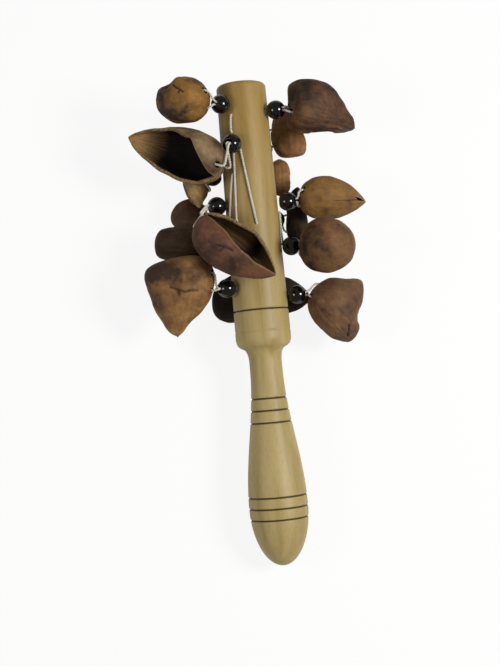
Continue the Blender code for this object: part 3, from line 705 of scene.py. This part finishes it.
mouth_edge, tree, out = new_material("pod_broken_edge")
coordinates = add(tree, "ShaderNodeTexCoord")
splinters = add(tree, "ShaderNodeTexNoise", {
    "Vector": coordinates.outputs["Object"], "Scale": 1 / SPECK_SIZE, "Detail": 4.0})
splinter_tone = add(tree, "ShaderNodeValToRGB", {"Fac": splinters.outputs["Fac"]})
splinter_tone.color_ramp.elements[0].position = 0.35
splinter_tone.color_ramp.elements[0].color = linear(EDGE_BROWN)
splinter_tone.color_ramp.elements[1].position = 0.6
splinter_tone.color_ramp.elements[1].color = linear(EDGE_TAN)
relief = add(tree, "ShaderNodeBump", {
    "Height": splinters.outputs["Fac"], "Strength": 0.4, "Distance": 0.0004})
surface = add(tree, "ShaderNodeBsdfPrincipled", {
    "Base Color": splinter_tone.outputs[0], "Roughness": 0.75, "Normal": relief.outputs[0]})
tree.links.new(surface.outputs[0], out.inputs["Surface"])

# A pod's surface: broad swellings, flattened facets with soft ridges between them, and fine wrinkles
# that run from base to tip. The mouth's edge wavers where the shell broke, and cracks are pressed in
# along their lines. Two cord holes go through the wall.
SWELL_HEIGHT = 0.6 * MM
SWELL_SIZE = 9 * MM
FACET_HEIGHT = 0.7 * MM
FACET_SIZE = 8 * MM
WRINKLE_HEIGHT = 0.16 * MM
WRINKLES_ROUND = 6.0
WRINKLES_ALONG = 3.0
WRINKLE_FINER = 2.3
WRINKLE_FINE_SHARE = 0.6
MOUTH_WAVER = 0.1
MOUTH_WAVES = 9
ENDS_FADE = 12
LEAST_RADIUS = 0.1 * MM
POD_MERGE_DISTANCE = 0.02 * MM
SEED_STEP = Vector((3.7, 1.3, 5.1))
CRACK_WIDTH = 0.75 * MM
CRACK_DEPTH = 0.7 * MM
POD_WALL_AT_TIP = 0.2
POD_WALL_TAPER = 2.5
HOLE_WALL = 0.35
HOLE_PARING = 2.5 * MM
HOLE_REACH = 3 * POD_WALL


def pod_relief(pod, point, share, angle, seed):
    """How far the real surface lies outside the plain pod."""
    swell = SWELL_HEIGHT * noise.noise(point / SWELL_SIZE + seed)
    facet = FACET_HEIGHT * (noise.voronoi(point / FACET_SIZE + seed)[0][0] - 0.5)
    round_pod = Vector((WRINKLES_ROUND * cos(angle), WRINKLES_ROUND * sin(angle), WRINKLES_ALONG * share))
    fine = WRINKLE_FINE_SHARE * noise.noise(WRINKLE_FINER * round_pod - seed)
    wrinkle = WRINKLE_HEIGHT * (noise.noise(round_pod + seed) + fine)
    return swell + facet + wrinkle * pod.get("wrinkle", 1.0)


def distance_to_line(point, ends):
    """Distance from a point to a straight line between two ends."""
    start, end = ends
    run = end - start
    share = min(max((point - start).dot(run) / run.length_squared, 0.0), 1.0)
    return (point - start - run * share).length


def crack_lines(pod):
    """All the short straight lines that a pod's cracks are made of."""
    lines = []
    for crack in pod.get("cracks", []):
        spots = [pod_point(pod, share, radians(turn)) for share, turn in crack]
        lines += list(zip(spots, spots[1:]))
    return lines


def strongest(pod, spots, point):
    """How strong the nearest of a pod's listed spots is at a point: spots of painted shade outside, lit
    places on the lining.
    """
    most = 0.0
    for share, turn, size, strength in spots:
        gap = (point - pod_point(pod, share, radians(turn))).length
        most = max(most, strength * exp(-(gap / (size * MM)) ** 2))
    return most


def pared_wall(pod, point):
    """Share of the wall left at a point, seen from the seat: it is pared thin round the cord holes."""
    left = 1.0
    if point.length > POD_HOLE_SPREAD + POD_HOLE_RADIUS + HOLE_PARING + POD_WALL:
        return left
    spread_axis, inward_axis = hole_axes(pod)
    for side in (-1, 1):
        gap = point - spread_axis * POD_HOLE_SPREAD * side
        depth = gap.dot(inward_axis)
        if abs(depth) < HOLE_REACH:
            aside = (gap - inward_axis * depth).length - POD_HOLE_RADIUS
            left = min(left, max(HOLE_WALL, aside / HOLE_PARING))
    return left


def open_hole(shape, middle, inward):
    """Take a pod's skin away inside one cord hole and round the hole's edge."""
    inside = []
    for vert in shape.verts:
        gap = vert.co - middle
        depth = gap.dot(inward)
        if abs(depth) < HOLE_REACH and (gap - inward * depth).length < POD_HOLE_RADIUS:
            inside.append(vert)
    rim = {other for vert in inside for edge in vert.link_edges for other in edge.verts} - set(inside)
    bmesh.ops.delete(shape, geom=inside, context="VERTS")
    for vert in rim:
        if vert.is_valid:
            gap = vert.co - middle
            depth = gap.dot(inward)
            sideways = gap - inward * depth
            vert.co -= sideways * (1 - POD_HOLE_RADIUS / sideways.length)


def build_pod(name, pod, seed):
    """One pod as a fine open surface with a wall and two cord holes."""
    seat = pod_seat(pod)
    lines = crack_lines(pod)
    crack_width = CRACK_WIDTH * pod.get("crack_size", 1.0)
    shape = bmesh.new()
    uv = shape.loops.layers.uv.new("UVMap")
    layers = {key: shape.verts.layers.float.new(key) for key in ("edge", "crack", "painted_shade", "lit_lining")}
    bmesh.ops.create_grid(shape, x_segments=POD_SIDES, y_segments=POD_ROWS, size=0.5)
    wall = shape.verts.layers.deform.verify()
    for face in shape.faces:
        for loop in face.loops:
            loop[uv].uv = (loop.vert.co.x + 0.5, loop.vert.co.y + 0.5)
    places = {}
    for vert in shape.verts:
        share = min(max((1 - cos(pi * (vert.co.y + 0.5))) / 2, 0.0), 1.0)
        waver = 1 + MOUTH_WAVER * noise.noise(Vector((share * MOUTH_WAVES, vert.co.x * 2, 0)) + seed)
        mouth, middle = pod_mouth(pod, share)
        mouth *= waver
        turn = mouth + (vert.co.x + 0.5) * 2 * (pi - mouth)
        point = pod_point(pod, share, middle + turn)
        from_mouth = min(turn - mouth, 2 * pi - mouth - turn) * max(point.xz.length, LEAST_RADIUS)
        vert[layers["edge"]] = max(0.0, 1 - from_mouth / EDGE_REACH) if mouth > 0 else 0.0
        # Crack lines are pressed in, and painted near black as shade in the splits.
        near = min((distance_to_line(point, line) for line in lines), default=1.0)
        vert[layers["crack"]] = max(0.0, 1 - near / crack_width)
        # Spots of painted shade on the pod's outside.
        vert[layers["painted_shade"]] = strongest(pod, pod.get("shade_spots", []), point)
        # Towards the tip and at the listed lit places, the lining's painted shade gives way to tan.
        tip_tan = min(max((share - TAN_FROM) / (TAN_WHOLE - TAN_FROM), 0.0), 1.0)
        vert[layers["lit_lining"]] = max(tip_tan, strongest(pod, pod.get("lit_lining", []), point))
        vert[wall][0] = min(pared_wall(pod, point - seat), POD_WALL_AT_TIP + POD_WALL_TAPER * (1 - share))
        places[vert] = (point, share, middle + turn)
        vert.co = point
    shape.normal_update()
    for vert, (point, share, angle) in places.items():
        fade = min(1.0, ENDS_FADE * share, ENDS_FADE * (1 - share))
        lift = fade * pod_relief(pod, point, share, angle, seed) - CRACK_DEPTH * vert[layers["crack"]]
        vert.co = point + vert.normal * lift - seat
    bmesh.ops.remove_doubles(shape, verts=shape.verts, dist=POD_MERGE_DISTANCE)
    spread_axis, inward_axis = hole_axes(pod)
    for side in (-1, 1):
        open_hole(shape, spread_axis * POD_HOLE_SPREAD * side, inward_axis)
    bmesh.ops.transform(shape, matrix=pod_place(name, pod), verts=shape.verts)
    skin = shell_material("pod_shell_" + name, pod["tones"])
    made = new_piece("seed_pod_" + name, shape, [skin, lining, mouth_edge])
    made.vertex_groups.new(name="wall")
    thick = made.modifiers.new("wall", "SOLIDIFY")
    thick.thickness = POD_WALL
    thick.offset = -1
    thick.vertex_group = "wall"
    thick.material_offset = 1
    thick.material_offset_rim = 2
    return made


for number, (name, pod) in enumerate(PODS.items()):
    shell = build_pod(name, pod, SEED_STEP * number)
    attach(shell, "pod_" + name)
    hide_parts("pod_" + name)

# The cords: white cotton twine of two plies laid round each other. A loop leaves the bead in two
# strands, goes through the pod's two holes and meets itself inside. The ends lie in the head.
CORD_RADIUS = 0.6 * MM
STRAND_OFFSET = 0.75 * MM
PLY_RADIUS = 0.34 * MM
PLY_SIDES = 8
LAY_LENGTH = 2.4 * MM
CORD_STEP = 0.2 * MM
CORD_BEND = 2.4 * MM
BEND_STEPS = 8
CORD_CLEARANCE = 0.3 * MM
POD_LEAD = 2.0
LOOP_IN = POD_WALL / 2 + 3 * CORD_RADIUS
LOOP_TURN_IN = POD_WALL / 2 + 5 * CORD_RADIUS
TWINE_MERGE_DISTANCE = 0.005 * MM
TWINE_WHITE = "#e6e1d6"
TWINE_SHADE = "#b9b09c"
FLUFF_SIZE = 0.12 * MM

twine, tree, out = new_material("white_twine")
coordinates = add(tree, "ShaderNodeTexCoord")
fluff = add(tree, "ShaderNodeTexNoise", {
    "Vector": coordinates.outputs["Object"], "Scale": 1 / FLUFF_SIZE, "Detail": 3.0})
threads = add(tree, "ShaderNodeMapping", {"Vector": coordinates.outputs["UV"], "Scale": (9, 1, 1)})
yarn = add(tree, "ShaderNodeTexNoise", {
    "Vector": threads.outputs[0], "Scale": 1.0, "Detail": 3.0, "Roughness": 0.6})
fuzz = add(tree, "ShaderNodeMath", {0: fluff.outputs["Fac"], 1: yarn.outputs["Fac"]}, operation="ADD")
twine_tone = add(tree, "ShaderNodeMapRange", {"Value": fuzz.outputs[0], "From Min": 0.7, "From Max": 1.3})
cotton = add(tree, "ShaderNodeMix", {
    "Factor": twine_tone.outputs[0], 6: linear(TWINE_SHADE), 7: linear(TWINE_WHITE)}, data_type="RGBA")
relief = add(tree, "ShaderNodeBump", {"Height": fuzz.outputs[0], "Strength": 0.5, "Distance": 0.0001})
surface = add(tree, "ShaderNodeBsdfPrincipled", {
    "Base Color": cotton.outputs[2], "Roughness": 0.9, "Normal": relief.outputs[0],
    "Specular IOR Level": 0.2, "Sheen Weight": 0.3})
tree.links.new(surface.outputs[0], out.inputs["Surface"])


def eased(points):
    """A run of points with each corner eased into a bend."""
    run = [points[0]]
    for before, corner, after in zip(points, points[1:], points[2:]):
        reach_in = min(CORD_BEND, (corner - before).length / 2)
        reach_out = min(CORD_BEND, (after - corner).length / 2)
        start = corner + (before - corner).normalized() * reach_in
        end = corner + (after - corner).normalized() * reach_out
        for step in range(BEND_STEPS + 1):
            t = step / BEND_STEPS
            run.append(start * (1 - t) ** 2 + corner * 2 * t * (1 - t) + end * t ** 2)
    return run + [points[-1]]


def evenly(points):
    """Points one cord step apart along a run."""
    run = [points[0]]
    for point in points[1:]:
        while (point - run[-1]).length > CORD_STEP:
            run.append(run[-1] + (point - run[-1]).normalized() * CORD_STEP)
    return run


def build_twine(name, path):
    """A cord of two twisted plies along a run of points one cord step apart."""
    ways = [(after - before).normalized() for before, after in zip(path, path[1:])]
    ways.append(ways[-1])
    sides = [ways[0].orthogonal().normalized()]
    for way in ways[1:]:
        sides.append((sides[-1] - way * sides[-1].dot(way)).normalized())
    shape = bmesh.new()
    uv = shape.loops.layers.uv.new("UVMap")
    for ply in (0, 1):
        grid = bmesh.ops.create_grid(shape, x_segments=PLY_SIDES, y_segments=len(path) - 1, size=0.5)
        faces = {face for vert in grid["verts"] for face in vert.link_faces}
        for loop in [loop for face in faces for loop in face.loops]:
            loop[uv].uv = (loop.vert.co.x, (loop.vert.co.y + 0.5) * len(path) * CORD_STEP / LAY_LENGTH)
        for vert in grid["verts"]:
            at = round((vert.co.y + 0.5) * (len(path) - 1))
            lay = 2 * pi * at * CORD_STEP / LAY_LENGTH + pi * ply
            other = ways[at].cross(sides[at])
            centre = path[at] + (sides[at] * cos(lay) + other * sin(lay)) * (CORD_RADIUS - PLY_RADIUS)
            round_ply = 2 * pi * (vert.co.x + 0.5)
            vert.co = centre + (sides[at] * cos(round_ply) + other * sin(round_ply)) * PLY_RADIUS
    bmesh.ops.remove_doubles(shape, verts=shape.verts, dist=TWINE_MERGE_DISTANCE)
    ends = [edge for edge in shape.edges if edge.is_boundary]
    bmesh.ops.holes_fill(shape, edges=ends, sides=0)
    bmesh.ops.recalc_face_normals(shape, faces=shape.faces)
    return new_piece(name, shape, [twine])


for name, pod in PODS.items():
    mouth, outward = hole_mouth(name)
    bead_end = mouth + outward * (BEAD_GAP + 2 * BEAD_RADIUS)
    spread_axis, inward_axis = hole_axes(pod)
    place = pod_place(name, pod)
    seat = place.translation
    across = place.to_3x3() @ spread_axis
    inward = place.to_3x3() @ inward_axis
    strand = outward.cross(seat - bead_end).normalized() * STRAND_OFFSET
    if strand.dot(across) < 0:
        strand = -strand
    halves = []
    for side in (1, -1):
        hole = seat + across * POD_HOLE_SPREAD * side
        halves.append([
            mouth + outward * (BEAD_GAP + CORD_CLEARANCE) + strand * side,
            bead_end + outward * CORD_RADIUS + strand * side,
            hole - inward * pod.get("lead", POD_LEAD) * MM,
            hole + inward * LOOP_IN])
    inside = seat + inward * LOOP_TURN_IN
    route = evenly(eased(halves[0] + [inside] + halves[1][::-1]))
    loop_cord = build_twine("twine_loop_" + name, route)
    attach(loop_cord, "bead_" + name)
    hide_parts("loop_" + name)

# Laced twine runs along the outside of the head, from one hole to the next, as (mm from the butt,
# degrees round the stick from the top). Its ends turn down into the wood.
LACINGS = {
    "left_upper": [(212, -28), (208, -30), (204, -31)],
    "front_left": [(184.5, -37), (174, -46), (164, -54)],
    "front_middle": [(194.5, -29), (178, -32), (162, -36)],
    "front_right": [(195, -13), (178, -3), (160, 7)],
    "right": [(166, 84), (158, 78), (150.6, 84)],
}
LACING_STEPS = 12
LACING_SINK = 1.5 * MM


def on_head(along, around, out_by):
    """A point on the stick, or off its surface, in the shared frame."""
    radius = stick_radius(along * MM) + out_by
    return stick_place @ Vector((radius * sin(radians(around)), along * MM, radius * cos(radians(around))))


for name, (first, middle, last) in LACINGS.items():
    line = [on_head(*first, -LACING_SINK)]
    for step in range(LACING_STEPS + 1):
        t = step / LACING_STEPS
        parts = (2 * (t - 0.5) * (t - 1), -4 * t * (t - 1), 2 * t * (t - 0.5))
        spots = list(zip(parts, (first, middle, last)))
        along = sum(part * spot[0] for part, spot in spots)
        around = sum(part * spot[1] for part, spot in spots)
        line.append(on_head(along, around, CORD_RADIUS + CORD_CLEARANCE / 3))
    line.append(on_head(*last, -LACING_SINK))
    lacing = build_twine("twine_lacing_" + name, evenly(eased(line)))
    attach(lacing, "stick")
    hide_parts("lacing_" + name)

# The doubled cord inside the head shows only at the holes' mouths, so its solids stay as they are, in
# the same twine.
for node in bpy.data.objects:
    if node.name.startswith("stick_cord_"):
        node.data.materials.clear()
        node.data.materials.append(twine)
